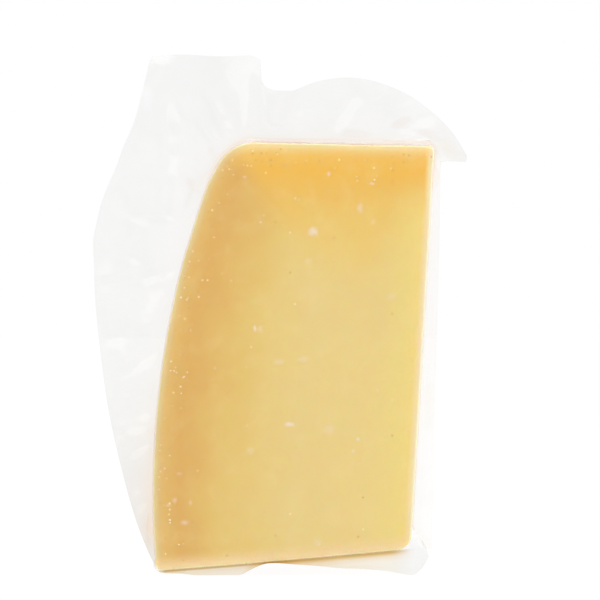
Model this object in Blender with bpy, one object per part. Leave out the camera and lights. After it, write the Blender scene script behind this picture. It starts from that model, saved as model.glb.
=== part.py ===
"""Parmesan chunk in a clear vacuum pouch, standing on the pouch's folded lower end.

Run with: blender --background --python part.py

Metres, +Z up. The chunk is a piece of the upper half of a cheese wheel: a thin sector about the
wheel's axis, with the wheel's barrel-shaped rind on the left (-X), its flat rind on top, a cut
face in front (-Y), another behind, a cut towards the wheel's middle on the right and a cut below.
The origin is on the table, under the middle of the whole pack.
"""

import bmesh
import bpy
from math import atan2, cos, hypot, pi, radians, sin, sqrt, tan
from mathutils import Matrix, Vector

MM = 0.001

# The chunk's section, in millimetres. X runs from the widest point of the rind towards the
# wheel's axis, and Z is the height above the table.
WHEEL_RADIUS = 210.0  # from the wheel's axis to the widest point of its rind
BARREL_RADIUS = 242.0  # curve of the rind, seen in section
BARREL_HEIGHT = 20.0  # height of the widest point
TOP_HEIGHT = 111.7  # the wheel's flat face, at its outer edge
TOP_FALL = radians(1.2)  # how far the flat face falls towards the wheel's middle
INNER_TOP = 72.5  # the inner cut's distance from the widest point of the rind, at the top
INNER_FOOT = 66.6  # and at the foot
FOOT_LEFT_HEIGHT = 1.5  # the lower cut stands this high on its outer side
FOOT_RISE = radians(3.8)  # and rises towards the wheel's middle
FOOT_BOW = 0.7  # how far the lower cut sags between its ends
WHEEL_EDGE_RADIUS = 12.5  # where the wheel's flat face turns into its side
OUTER_FOOT_RADIUS = 2.6
INNER_TOP_RADIUS = 2.0
INNER_FOOT_RADIUS = 5.5
RIM_RADIUS = 1.4  # rounding round the two large cut faces

# The wedge: how thick it is at the rind, and how far its front face is from the pouch's seam.
RIND_THICKNESS = 38.0
SEAM_DEPTH = 16.0

# The pouch. Its two films are welded together in one upright sheet round the chunk.
FILM_THICKNESS = 0.8
FILM_GAP = 0.35  # between the film and the cheese
SHEET_CELL = 3.5  # spacing of the sheet's facets
SHEET_FOOT = 0.6  # the sheet ends this far above the table
TAB_LEAN = 5.0  # the sheet's tall tab leans back
EAR_CURL = 7.0  # its ear curls forward
RIND_SIDE_BOW = 2.5  # and its side bows back
CUTTER_DEPTH = 30.0

# The pouch's folded lower end, on which the pack stands.
FOLD_PROUD = 1.0  # it reaches this far past the front and back faces
FOLD_LEFT = 1.6  # its outer end, measured like the section above
FOLD_RIGHT = 4.6  # and this far past the inner cut
FOLD_RIGHT_HEIGHT = 4.4
FOLD_OVERLAP = 1.0  # it starts this far inside the chunk, before the chunk's room is cut
ARCH_EDGE = [(65.5, 0), (59, 1.0), (50, 1.5), (41, 1.9), (33, 2.2), (27.5, 1.4), (24.5, 0)]  # off the table

# The welded sheet's outer edge as (X, Z), clockwise from its foot on the rind's side. Each list
# is one smooth stretch, and the sheet has a corner where one list ends and the next begins.
RIND_SIDE_EDGE = [(0.6, SHEET_FOOT), (-3, 5.5), (-7.8, 23.3), (-12.2, 43), (-15.1, 67), (-15.9, 85.7)]
TAB_SIDE_EDGE = [(-15.9, 85.7), (-13.6, 95.5), (-9.6, 105.2), (-7.9, 110), (-4.9, 117), (-1.6, 130)]
TAB_TOP_EDGE = [(-1.0, 133.2), (7.0, 133.8), (17.0, 133.3), (27.2, 133.7)]
NOTCH_EDGE = [(27.7, 132.4), (28.0, 127.0), (30.6, 124.7), (36.0, 124.4)]
EAR_EDGE = [(36, 124.4), (43.2, 127), (51.5, 127.8), (60, 126), (68.4, 121.8), (76.5, 114.6), (81.6, 106.8)]
EAR_FOOT_EDGE = [(80.9, 106.0), (73.6, 106.2)]
INNER_SIDE_EDGE = [(73.4, 104), (73.2, 80), (72.6, 40), (72.3, 9), (71.4, 3.6), (69.2, SHEET_FOOT)]
FOOT_EDGE = [(69.2, SHEET_FOOT), (58, 2.6), (34, 2.5), (14, 2), (3, SHEET_FOOT)]  # hidden in the folded end
SHEET_EDGE = [
    RIND_SIDE_EDGE,
    TAB_SIDE_EDGE,
    TAB_TOP_EDGE,
    NOTCH_EDGE,
    EAR_EDGE,
    EAR_FOOT_EDGE,
    INNER_SIDE_EDGE,
    FOOT_EDGE,
]
EDGE_STEPS = 4  # points from one listed point to the next
SHORTEST_EDGE = 0.3  # between two points of the finished edge

ARC_STEP = radians(12)  # most turn between two points of an arc
LONGEST_CHORD = 8.0  # and most distance
FOOT_STEPS = 6
SPIN_STEPS = 6
RIM_SEGMENTS = 3

CHEESE_COLOUR = (0.82, 0.60, 0.23)
FILM_COLOUR = (0.93, 0.93, 0.92)


def clear_scene():
    for obj in list(bpy.data.objects):
        bpy.data.objects.remove(obj, do_unlink=True)


def material(name, colour, roughness, alpha=1.0):
    made = bpy.data.materials.new(name)
    made.use_nodes = True
    shader = made.node_tree.nodes["Principled BSDF"]
    shader.inputs["Base Color"].default_value = (*colour, 1.0)
    shader.inputs["Roughness"].default_value = roughness
    shader.inputs["Metallic"].default_value = 0.0
    shader.inputs["Alpha"].default_value = alpha
    made.diffuse_color = (*colour, alpha)
    return made


def add_object(name, bm, made_of=None):
    """A bmesh in millimetres becomes an object in metres."""
    bmesh.ops.recalc_face_normals(bm, faces=bm.faces)
    bmesh.ops.scale(bm, vec=Vector((MM, MM, MM)), verts=bm.verts)
    mesh = bpy.data.meshes.new(name)
    bm.to_mesh(mesh)
    bm.free()
    obj = bpy.data.objects.new(name, mesh)
    bpy.context.scene.collection.objects.link(obj)
    if made_of:
        mesh.materials.append(made_of)
    return obj


def as_helper(obj):
    obj.hide_render = True
    obj.display_type = "WIRE"
    return obj


def boolean(obj, operation, other):
    modifier = obj.modifiers.new(f"{operation.lower()}_{other.name}", "BOOLEAN")
    modifier.operation = operation
    modifier.solver = "EXACT"
    modifier.object = other


# ---------------------------------------------------------------- the chunk's section


def arc(centre, radius, start, end):
    """Points along an arc, both ends included."""
    steps = max(2, round(abs(end - start) / ARC_STEP), round(abs(end - start) * radius / LONGEST_CHORD))
    turns = [start + (end - start) * i / steps for i in range(steps + 1)]
    return [centre + radius * Vector((cos(turn), sin(turn))) for turn in turns]


def angle_from(centre, point):
    return atan2(point.y - centre.y, point.x - centre.x) % (2 * pi)


def foot_height(x):
    """The lower cut, at its sagging middle and its higher ends."""
    share = x / INNER_FOOT
    return FOOT_LEFT_HEIGHT + x * tan(FOOT_RISE) - 4 * FOOT_BOW * share * (1 - share)


def top_height(x):
    return TOP_HEIGHT - (x - WHEEL_EDGE_RADIUS) * tan(TOP_FALL)


def round_onto_barrel(barrel, point, direction, inward, radius):
    """The centre of a rounding that touches the barrel curve from inside and the line through
    point, on the line's inward side."""
    start = point + inward * radius - barrel
    along = start.dot(direction)
    reach = (BARREL_RADIUS - radius) ** 2 - start.length_squared + along**2
    return point + inward * radius - direction * (along + sqrt(reach))


def round_corner(before, corner, after, radius):
    """Points along the rounding of a corner between two straight edges, clockwise."""
    back, ahead = (before - corner).normalized(), (after - corner).normalized()
    half = back.angle(ahead) / 2
    centre = corner + (back + ahead).normalized() * radius / sin(half)
    start = angle_from(centre, corner + back * radius / tan(half))
    end = angle_from(centre, corner + ahead * radius / tan(half))
    return arc(centre, radius, start, end if end < start else end - 2 * pi)


def chunk_outline():
    """The section of the chunk, clockwise from the foot of the rind."""
    barrel = Vector((BARREL_RADIUS, BARREL_HEIGHT))
    foot_way = Vector((cos(FOOT_RISE), sin(FOOT_RISE)))
    top_way = Vector((cos(TOP_FALL), -sin(TOP_FALL)))
    foot_inward, top_inward = Vector((-foot_way.y, foot_way.x)), Vector((top_way.y, -top_way.x))
    outer_foot, outer_top = Vector((0, foot_height(0))), Vector((0, top_height(0)))
    inner_foot = Vector((INNER_FOOT, foot_height(INNER_FOOT)))
    inner_top = Vector((INNER_TOP, top_height(INNER_TOP)))
    foot_centre = round_onto_barrel(barrel, outer_foot, foot_way, foot_inward, OUTER_FOOT_RADIUS)
    edge_centre = round_onto_barrel(barrel, outer_top, top_way, top_inward, WHEEL_EDGE_RADIUS)
    foot_turn, edge_turn = angle_from(barrel, foot_centre), angle_from(barrel, edge_centre)
    inner_side = round_corner(inner_top, inner_foot, outer_foot, INNER_FOOT_RADIUS)
    span = inner_side[-1].x - foot_centre.x
    foot_xs = [inner_side[-1].x - span * i / FOOT_STEPS for i in range(1, FOOT_STEPS)]
    return [
        *arc(foot_centre, OUTER_FOOT_RADIUS, 3 * pi / 2, foot_turn),
        *arc(barrel, BARREL_RADIUS, foot_turn, edge_turn)[1:-1],
        *arc(edge_centre, WHEEL_EDGE_RADIUS, edge_turn, pi / 2 - TOP_FALL),
        *round_corner(outer_top, inner_top, inner_foot, INNER_TOP_RADIUS),
        *inner_side,
        *[Vector((x, foot_height(x))) for x in foot_xs],
    ]


def grown(outline, distance):
    """The clockwise outline moved outwards."""
    moved = []
    for i, point in enumerate(outline):
        way = (outline[(i + 1) % len(outline)] - outline[i - 1]).normalized()
        moved.append(point + Vector((-way.y, way.x)) * distance)
    return moved


# ---------------------------------------------------------------- solids


def sector(outline, grow=0.0):
    """A section turned about the wheel's axis, through the wedge's angle. grow makes the sector
    this much thicker at the rind on both of its faces."""
    extra = grow / WHEEL_RADIUS
    bm = bmesh.new()
    corners = [bm.verts.new((p.x, -SEAM_DEPTH, p.y)) for p in outline]
    section = bm.faces.new(corners)
    axis = Vector((WHEEL_RADIUS, -SEAM_DEPTH, 0))
    bmesh.ops.rotate(bm, verts=corners, cent=axis, matrix=Matrix.Rotation(extra, 3, "Z"))
    bmesh.ops.spin(
        bm,
        geom=[*corners, *section.edges, section],
        cent=axis,
        axis=(0, 0, 1),
        angle=-(RIND_THICKNESS / WHEEL_RADIUS + 2 * extra),
        steps=SPIN_STEPS,
    )
    # The turn bends everything round the wheel's axis. The inner cut is straight: it is flat and
    # square to the front face, so the bend fades out from the rind inwards.
    for vert in bm.verts:
        radius = hypot(WHEEL_RADIUS - vert.co.x, vert.co.y + SEAM_DEPTH)
        bend = radius - (WHEEL_RADIUS - vert.co.x)
        vert.co.x -= bend * (WHEEL_RADIUS - radius) / INNER_TOP
    return bm


def round_the_rims(bm):
    """Rounds the edges of the two large cut faces."""
    caps = sorted(bm.faces, key=lambda face: face.calc_area())[-2:]
    rims = {edge for cap in caps for edge in cap.edges}
    bmesh.ops.bevel(
        bm,
        geom=list(rims),
        offset=RIM_RADIUS,
        segments=RIM_SEGMENTS,
        profile=0.5,
        affect="EDGES",
        material=-1,
        clamp_overlap=True,
    )


def make_cheese(made_of):
    bm = sector(chunk_outline())
    round_the_rims(bm)
    return add_object("cheese_chunk", bm, made_of)


def between(value, low, high):
    """0 up to low, 1 from high, and a straight ramp in between."""
    return max(0.0, min(1.0, (value - low) / (high - low)))


def sheet_depth(x, z):
    """How far the welded sheet stands behind the seam's plane."""
    tab = TAB_LEAN * between(z, 112, 134) ** 2 * (1 - between(x, 20, 34))
    ear = -EAR_CURL * between(x, 44, 82) ** 2 * between(z, 98, 112)
    side = RIND_SIDE_BOW * (1 - between(x, -16, 0)) * sin(pi * between(z, 0, 112))
    return tab + ear + side


def smooth_stretch(points, steps=EDGE_STEPS):
    """A Catmull-Rom curve through the points."""
    ends = [Vector(p) for p in points]
    ends = [2 * ends[0] - ends[1], *ends, 2 * ends[-1] - ends[-2]]
    found = []
    for a, b, c, d in zip(ends, ends[1:], ends[2:], ends[3:]):
        for i in range(steps):
            t = i / steps
            bend = (2 * a - 5 * b + 4 * c - d) * t**2 + (3 * b - a - 3 * c + d) * t**3
            found.append(0.5 * (2 * b + (c - a) * t + bend))
    return [*found, ends[-2]]


def sheet_outline():
    found = []
    for stretch in SHEET_EDGE:
        for point in smooth_stretch(stretch):
            if not found or (point - found[-1]).length > SHORTEST_EDGE:
                found.append(point)
    return found


def prism(outline, depth):
    """An upright outline made as deep as this, half on each side of the seam's plane."""
    bm = bmesh.new()
    face = bm.faces.new([bm.verts.new((p.x, -depth / 2, p.y)) for p in outline])
    made = bmesh.ops.extrude_face_region(bm, geom=[face])["geom"]
    moved = [v for v in made if isinstance(v, bmesh.types.BMVert)]
    bmesh.ops.translate(bm, verts=moved, vec=Vector((0, depth, 0)))
    return bm


def waved_sheet(outline):
    """A thin sheet that covers the outline and bends by sheet_depth."""
    low = Vector([min(p[i] for p in outline) - SHEET_CELL for i in range(2)])
    size = Vector([max(p[i] for p in outline) + SHEET_CELL for i in range(2)]) - low
    bm = bmesh.new()
    columns, rows = (round(length / SHEET_CELL) for length in size)
    bmesh.ops.create_grid(bm, x_segments=columns, y_segments=rows, size=0.5)
    for vert in bm.verts:
        x, z = low.x + (vert.co.x + 0.5) * size.x, low.y + (vert.co.y + 0.5) * size.y
        vert.co = (x, sheet_depth(x, z) - FILM_THICKNESS / 2, z)
    bm.normal_update()
    bmesh.ops.solidify(bm, geom=bm.faces, thickness=-FILM_THICKNESS)
    return bm


def fold_outline():
    """The pouch's folded lower end in section: flat on the table under its two feet, with a low
    arch between them, and reaching up into the lower cut."""
    right = INNER_FOOT + FOLD_RIGHT
    points = [
        (FOLD_LEFT, 0),
        (FOLD_LEFT - 0.8, 0.8),
        (FOLD_LEFT, foot_height(FOLD_LEFT) + FOLD_OVERLAP),
        (INNER_FOOT - FOLD_OVERLAP, foot_height(INNER_FOOT) + FOLD_OVERLAP),
        (right, FOLD_RIGHT_HEIGHT),
        (right - 1.4, 0),
        *smooth_stretch(ARCH_EDGE, steps=2),
    ]
    return [Vector(p) for p in points]


def make_film(made_of):
    """The part of the pouch that stands off the cheese: the welded sheet and the folded end."""
    outline = sheet_outline()
    film = add_object("film_pouch", waved_sheet(outline), made_of)
    boolean(film, "INTERSECT", as_helper(add_object("sheet_cutter", prism(outline, CUTTER_DEPTH))))
    boolean(film, "UNION", as_helper(add_object("folded_end", sector(fold_outline(), FOLD_PROUD))))
    room = sector(grown(chunk_outline(), FILM_GAP), FILM_GAP)
    boolean(film, "DIFFERENCE", as_helper(add_object("room_for_cheese", room)))
    return film


def stand_on_origin(pieces, objects):
    """Moves all objects so that the origin is on the table, under the middle of the pieces."""
    graph = bpy.context.evaluated_depsgraph_get()
    corners = [Vector(corner) for piece in pieces for corner in piece.evaluated_get(graph).bound_box]
    low = Vector([min(corner[i] for corner in corners) for i in range(3)])
    high = Vector([max(corner[i] for corner in corners) for i in range(3)])
    move = Vector((-(low.x + high.x) / 2, -(low.y + high.y) / 2, -low.z))
    for obj in objects:
        obj.data.transform(Matrix.Translation(move))


def main():
    clear_scene()
    cheese = make_cheese(material("cheese", CHEESE_COLOUR, 0.45))
    film = make_film(material("clear film", FILM_COLOUR, 0.12, alpha=0.3))
    for obj in (cheese, film):
        obj.data.shade_smooth()
        obj.data.set_sharp_from_angle(angle=radians(30))
    stand_on_origin([cheese, film], bpy.context.scene.objects)


main()
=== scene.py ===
"""Looks of the parmesan chunk in its clear vacuum pouch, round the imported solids.

Lengths are in millimetres until a piece is finished. X runs from the widest point of the rind
towards the middle of the wheel, Y from the pouch's seam towards the back, and Z up from the table.
"""

import random
from math import atan2, cos, exp, hypot, pi, radians, sin, sqrt, tan

import bmesh
import bpy
from mathutils import Matrix, Vector, noise
from mathutils.kdtree import KDTree


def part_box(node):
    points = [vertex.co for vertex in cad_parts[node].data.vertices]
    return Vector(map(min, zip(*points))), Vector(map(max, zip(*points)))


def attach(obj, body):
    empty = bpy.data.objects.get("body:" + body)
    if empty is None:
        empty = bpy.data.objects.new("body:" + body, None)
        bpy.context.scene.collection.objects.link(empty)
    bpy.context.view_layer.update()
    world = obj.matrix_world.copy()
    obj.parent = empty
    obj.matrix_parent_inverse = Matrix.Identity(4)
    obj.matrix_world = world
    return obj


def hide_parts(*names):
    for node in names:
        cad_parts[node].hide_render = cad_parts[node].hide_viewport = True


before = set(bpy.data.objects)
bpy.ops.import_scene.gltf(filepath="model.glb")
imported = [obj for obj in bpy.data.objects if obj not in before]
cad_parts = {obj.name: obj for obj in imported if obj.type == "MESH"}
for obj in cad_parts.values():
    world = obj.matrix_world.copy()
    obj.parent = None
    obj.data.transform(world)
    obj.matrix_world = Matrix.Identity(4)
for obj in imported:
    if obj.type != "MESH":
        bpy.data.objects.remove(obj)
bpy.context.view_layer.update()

MM = 0.001

# ---------------------------------------------------------------- sizes of the chunk

WHEEL_RADIUS = 210.0  # from the wheel's axis to the widest point of its rind
BARREL_RADIUS = 242.0  # curve of the side rind, seen in section
BARREL_HEIGHT = 20.0  # height of the widest point
TOP_HEIGHT = 111.7  # the wheel's flat face, at its outer edge
TOP_FALL = radians(1.2)  # how far it falls towards the wheel's middle
INNER_TOP = 72.5  # the inner cut's distance from the widest point of the rind, at the top
INNER_FOOT = 66.6  # and at the foot
FOOT_LEFT_HEIGHT = 0.75  # the lower cut's height on its outer side
FOOT_RISE = radians(4.94)  # its rise towards the wheel's middle
FOOT_BOW = 0.2  # and how far it sags between its ends
WHEEL_EDGE_RADIUS = 12.5  # where the wheel's flat face turns into its side
OUTER_FOOT_RADIUS = 1.4
INNER_TOP_RADIUS = 1.6
INNER_FOOT_RADIUS = 4.5
RIM_RADIUS = 1.0  # rounding round the two large cut faces
RIND_THICKNESS = 38.0  # of the wedge, at the rind
SEAM_DEPTH = 16.0  # from the front face to the pouch's seam
ARC_CHORD = 0.7  # length of an arc's straight pieces
FOOT_STEPS = 12
OUTLINE_SPACING = 0.8  # of the section's points
CHEESE_SQUARE = 1.0  # the large cut faces are cut into squares of this size
SQUARE_SNAP = 0.08
WEDGE_STEPS = 44
RIM_SEGMENTS = 4
# The rind is pressed flat a little below the wheel's edge, and more in a narrow band there.
WIDE_PRESS = 0.25
BAND_PRESS = 0.5
BAND_HEIGHT = 105.0
BAND_WIDTH = 3.0
RIND_SKIN = 0.6  # what is this near the surface is the rind's own skin
RELIEF_LIMIT = 0.05  # the relief stays inside the clinging film
CRUMB_COUNT = 62

# ---------------------------------------------------------------- sizes of the pouch

CLING = 0.12  # the clinging film is this far off the cheese
WEB_THICKNESS = 0.18  # the two welded films
SEAM_SNAP = 0.01  # a point this near the seam's plane lies in it
SEAM_SHIFT_REACH = 13.0  # the seam wanders to the front and back, and draws this much film along
FACE_MARGIN = 1.5  # but none of what lies on the large faces
FILM_SPACING = 0.65  # of the section's points
FILM_SQUARE = 1.6  # and of the film on the large faces
FILM_WELD = 0.004  # points this near each other are one
WEB_RINGS = 24  # rows of film between the chunk and the sheet's edge
SEAM_CUTS = (0.0, 0.05, 0.15, 0.35, 0.6, 1.0, 1.5, 2.2)  # the film is cut at these depths from its seam
TAB_LEAN = 5.0  # the sheet's tall tab leans back
EAR_CURL = 7.0  # its ear curls forward
RIND_SIDE_BOW = 2.5  # and its side bows back
FOLD_PROUD = 1.0  # the folded film reaches this far past the large faces
FOLD_LEFT_JOIN = 3.4  # the film leaves the rind at this height, and the inner cut at the next one
FOLD_RIGHT_JOIN = 10.5
# The folded film's lower edge, from the inner cut's side to the rind's: it stands on the table on
# both sides of a low arch.
FOLD_EDGE = [
    (71.0, 4.8), (69.6, 2.2), (67.8, 0.4), (66.4, 0), (64, 0.4), (58.8, 1.25), (53.6, 1.6),
    (48.4, 1.8), (43.2, 2.3), (36, 2.8), (31.5, 3.05), (28.5, 2.75), (25.2, 1.4), (22.8, 0.1),
    (21.5, 0), (12, 0), (7, 0.4), (3.0, 0.5), (1.2, 1.0), (0.2, 2.2),
]

# The welded sheet's outer edge, clockwise from its foot on the rind's side, in smooth stretches.
# Each starts opposite a point of the film that clings to the chunk, which is given before it.
SHEET_EDGE = [
    (
        (0.0, 4.6),
        [(0.4, 0.6), (-1.7, 4.9), (-4.7, 12.7), (-7.8, 23.3), (-12.2, 43), (-15.1, 67), (-15.9, 85.7)],
    ),
    ((9.2, 84.0), [(-15.9, 85.7), (-13.6, 95.5), (-9.6, 105.2), (-7.9, 110), (-4.9, 117), (-1.6, 130)]),
    ((17.0, 107.0), [(-1.0, 133.2), (7.0, 133.8), (17.0, 133.3), (27.2, 133.7)]),
    ((27.0, 111.5), [(27.7, 132.4), (28.0, 127.0), (30.6, 124.7), (36.0, 124.4)]),
    (
        (36.5, 111.3),
        [(36, 124.4), (43.2, 127), (51.5, 127.8), (60, 126), (68.4, 121.8), (76.5, 114.6), (81.6, 106.8)],
    ),
    ((72.3, 109.3), [(80.9, 106.0), (73.9, 106.2)]),
    ((72.2, 105.0), [(74.3, 104), (74.0, 80), (72.9, 40), (72.4, 9), (72.0, 5.0)]),
]
SHEET_END = (71.0, 4.8)  # opposite the end of the last stretch

# ---------------------------------------------------------------- outlines


def between(value, low, high):
    """0 up to low, 1 from high, and a straight ramp in between."""
    return max(0.0, min(1.0, (value - low) / (high - low)))


def eased(value, low, high):
    """The same with a gentle start and end."""
    share = between(value, low, high)
    return share * share * (3 - 2 * share)


def arc(centre, radius, start, end):
    steps = max(3, round(abs(end - start) * radius / ARC_CHORD))
    turns = [start + (end - start) * i / steps for i in range(steps + 1)]
    return [centre + radius * Vector((cos(turn), sin(turn))) for turn in turns]


def angle_from(centre, point):
    return atan2(point.y - centre.y, point.x - centre.x) % (2 * pi)


def foot_height(x):
    """The height of the lower cut."""
    share = x / INNER_FOOT
    return FOOT_LEFT_HEIGHT + x * tan(FOOT_RISE) - 4 * FOOT_BOW * share * (1 - share)


def top_height(x):
    """The height of the wheel's flat face."""
    return TOP_HEIGHT - (x - WHEEL_EDGE_RADIUS) * tan(TOP_FALL)


def round_onto_barrel(barrel, point, direction, inward, radius):
    """The centre of a rounding between the barrel curve and the line through point."""
    start = point + inward * radius - barrel
    along = start.dot(direction)
    reach = (BARREL_RADIUS - radius) ** 2 - start.length_squared + along**2
    return point + inward * radius - direction * (along + sqrt(reach))


def round_corner(before, corner, after, radius):
    """Points along the rounding of a corner between two straight edges, clockwise."""
    back, ahead = (before - corner).normalized(), (after - corner).normalized()
    half = back.angle(ahead) / 2
    centre = corner + (back + ahead).normalized() * radius / sin(half)
    start = angle_from(centre, corner + back * radius / tan(half))
    end = angle_from(centre, corner + ahead * radius / tan(half))
    return arc(centre, radius, start, end if end < start else end - 2 * pi)


BARREL = Vector((BARREL_RADIUS, BARREL_HEIGHT))
TOP_WAY = Vector((cos(TOP_FALL), -sin(TOP_FALL)))
EDGE_CENTRE = round_onto_barrel(
    BARREL, Vector((0, top_height(0))), TOP_WAY, Vector((TOP_WAY.y, -TOP_WAY.x)), WHEEL_EDGE_RADIUS
)


def flattened(z):
    """How far the rind at this height lies inside its plain arcs."""
    wide = WIDE_PRESS * eased(z, 80, 90) * (1 - eased(z, 108.5, 111))
    return wide + BAND_PRESS * exp(-(((z - BAND_HEIGHT) / BAND_WIDTH) ** 2))


def pressed(points, centre):
    """Points of an arc, moved towards its centre where the rind is flattened."""
    return [p + (centre - p).normalized() * flattened(p.y) for p in points]


def chunk_outline():
    """The section of the chunk, clockwise from the foot of the rind."""
    foot_way = Vector((cos(FOOT_RISE), sin(FOOT_RISE)))
    foot_inward = Vector((-foot_way.y, foot_way.x))
    outer_foot, outer_top = Vector((0, foot_height(0))), Vector((0, top_height(0)))
    inner_foot = Vector((INNER_FOOT, foot_height(INNER_FOOT)))
    inner_top = Vector((INNER_TOP, top_height(INNER_TOP)))
    foot_centre = round_onto_barrel(BARREL, outer_foot, foot_way, foot_inward, OUTER_FOOT_RADIUS)
    foot_turn, edge_turn = angle_from(BARREL, foot_centre), angle_from(BARREL, EDGE_CENTRE)
    inner_side = round_corner(inner_top, inner_foot, outer_foot, INNER_FOOT_RADIUS)
    span = inner_side[-1].x - foot_centre.x
    foot_xs = [inner_side[-1].x - span * i / FOOT_STEPS for i in range(1, FOOT_STEPS)]
    return [
        *arc(foot_centre, OUTER_FOOT_RADIUS, 3 * pi / 2, foot_turn),
        *pressed(arc(BARREL, BARREL_RADIUS, foot_turn, edge_turn)[1:-1], BARREL),
        *pressed(arc(EDGE_CENTRE, WHEEL_EDGE_RADIUS, edge_turn, pi / 2 - TOP_FALL), EDGE_CENTRE),
        *round_corner(outer_top, inner_top, inner_foot, INNER_TOP_RADIUS),
        *inner_side,
        *[Vector((x, foot_height(x))) for x in foot_xs],
    ]


def evenly(outline, spacing):
    """The closed outline again, with points this far apart."""
    ends = [*outline, outline[0]]
    lengths = [(b - a).length for a, b in zip(ends, ends[1:])]
    count = round(sum(lengths) / spacing)
    step = sum(lengths) / count
    found, piece, passed = [], 0, 0.0
    for i in range(count):
        while passed + lengths[piece] < i * step:
            passed += lengths[piece]
            piece += 1
        found.append(ends[piece].lerp(ends[piece + 1], (i * step - passed) / lengths[piece]))
    return found


def grown(outline, distance):
    """The clockwise outline moved outwards."""
    moved = []
    for i, point in enumerate(outline):
        way = (outline[(i + 1) % len(outline)] - outline[i - 1]).normalized()
        moved.append(point + Vector((-way.y, way.x)) * distance)
    return moved


def smooth_stretch(points, steps):
    """A Catmull-Rom curve through the points."""
    ends = [Vector(p) for p in points]
    ends = [2 * ends[0] - ends[1], *ends, 2 * ends[-1] - ends[-2]]
    found = []
    for a, b, c, d in zip(ends, ends[1:], ends[2:], ends[3:]):
        for i in range(steps):
            t = i / steps
            bend = (2 * a - 5 * b + 4 * c - d) * t**2 + (3 * b - a - 3 * c + d) * t**3
            found.append(0.5 * (2 * b + (c - a) * t + bend))
    return [*found, ends[-2]]


class Loop:
    """A closed outline with evenly spaced points. A place on it is a length round from its start."""

    def __init__(self, outline, spacing):
        self.points = evenly(outline, spacing)
        self.step = (self.points[1] - self.points[0]).length
        self.tree = KDTree(len(self.points))
        for number, point in enumerate(self.points):
            self.tree.insert((*point, 0), number)
        self.tree.balance()

    def at(self, place):
        number, share = divmod(place / self.step, 1)
        start, end = [self.points[int(number + i) % len(self.points)] for i in (0, 1)]
        return start.lerp(end, share)

    def outward(self, place):
        way = self.at(place + self.step) - self.at(place - self.step)
        return Vector((-way.y, way.x)).normalized()

    def place_of(self, point):
        """The place nearest a point."""
        _, number, _ = self.tree.find((*point, 0))
        before, here = self.points[number - 1], self.points[number]
        after = self.points[(number + 1) % len(self.points)]
        way = (after - before).normalized()
        return number * self.step + (Vector(point) - here).dot(way)


CHUNK = Loop(chunk_outline(), OUTLINE_SPACING)

# ---------------------------------------------------------------- making pieces


def fbm(point, size, octaves):
    """Fractal noise, about -1 to 1, whose largest features are this size."""
    return noise.fractal(Vector(point) / size, 0.9, 2.0, octaves, noise_basis="PERLIN_ORIGINAL")


def straightness(radius):
    """The rind bends round the wheel's axis, 0, and the inner cut is flat, 1."""
    return (WHEEL_RADIUS - radius) / INNER_TOP


def section_place(point):
    """A point's place in the section: how far in from the widest rind, and how high."""
    radius = WHEEL_RADIUS - point.x
    for _ in range(3):
        bend = radius - sqrt(radius**2 - (point.y + SEAM_DEPTH) ** 2)
        radius = WHEEL_RADIUS - point.x + bend * (1 - straightness(radius))
    return WHEEL_RADIUS - radius, point.z


def sector(outline, steps, grow=0.0):
    """A section turned about the wheel's axis, through the wedge's angle."""
    extra = grow / WHEEL_RADIUS
    bm = bmesh.new()
    corners = [bm.verts.new((p.x, -SEAM_DEPTH, p.y)) for p in outline]
    section = bm.faces.new(corners)
    axis = Vector((WHEEL_RADIUS, -SEAM_DEPTH, 0))
    bmesh.ops.rotate(bm, verts=corners, cent=axis, matrix=Matrix.Rotation(extra, 3, "Z"))
    bmesh.ops.spin(
        bm,
        geom=[*corners, *section.edges, section],
        cent=axis,
        axis=(0, 0, 1),
        angle=-(RIND_THICKNESS / WHEEL_RADIUS + 2 * extra),
        steps=steps,
    )
    for vert in bm.verts:
        radius = hypot(WHEEL_RADIUS - vert.co.x, vert.co.y + SEAM_DEPTH)
        vert.co.x -= (radius - (WHEEL_RADIUS - vert.co.x)) * straightness(radius)
    bmesh.ops.recalc_face_normals(bm, faces=bm.faces)
    return bm


def large_faces(bm):
    return sorted(bm.faces, key=lambda face: face.calc_area())[-2:]


def round_rims(bm, radius, segments):
    rims = {edge for cap in large_faces(bm) for edge in cap.edges}
    bmesh.ops.bevel(
        bm,
        geom=list(rims),
        offset=radius,
        segments=segments,
        profile=0.5,
        affect="EDGES",
        material=-1,
        clamp_overlap=True,
    )


def cut_into_squares(bm, face, spacing):
    """Cuts a large flat face along X and Z, so that it can take relief."""
    normal = face.normal.copy()
    pieces = {face}
    for axis in (0, 2):
        reach = [vert.co[axis] for piece in pieces for vert in piece.verts]
        count = round((max(reach) - min(reach)) / spacing)
        step = (max(reach) - min(reach)) / count
        way = Vector([float(i == axis) for i in range(3)])
        done = set()
        for i in range(1, count):
            place = min(reach) + i * step
            geom = {part for piece in pieces for part in (piece, *piece.edges, *piece.verts)}
            cut = bmesh.ops.bisect_plane(
                bm, geom=list(geom), dist=SQUARE_SNAP, plane_co=way * place, plane_no=way
            )
            for edge in cut["geom_cut"]:
                if isinstance(edge, bmesh.types.BMEdge):
                    pieces.update(side for side in edge.link_faces if side.normal.dot(normal) > 0.999)
            done.update(piece for piece in pieces if piece.calc_center_median()[axis] < place)
            pieces -= done
        pieces |= done


def chunk_shell(outline, grow, rim, square):
    """The closed wedge over a section, with rounded rims and its large faces cut into squares."""
    bm = sector(outline, steps=WEDGE_STEPS, grow=grow)
    round_rims(bm, rim, RIM_SEGMENTS)
    for cap in large_faces(bm):
        cut_into_squares(bm, cap, square)
    bm.normal_update()
    return bm


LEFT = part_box("cheese_chunk")[0].x / MM
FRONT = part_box("cheese_chunk")[0].y / MM


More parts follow.
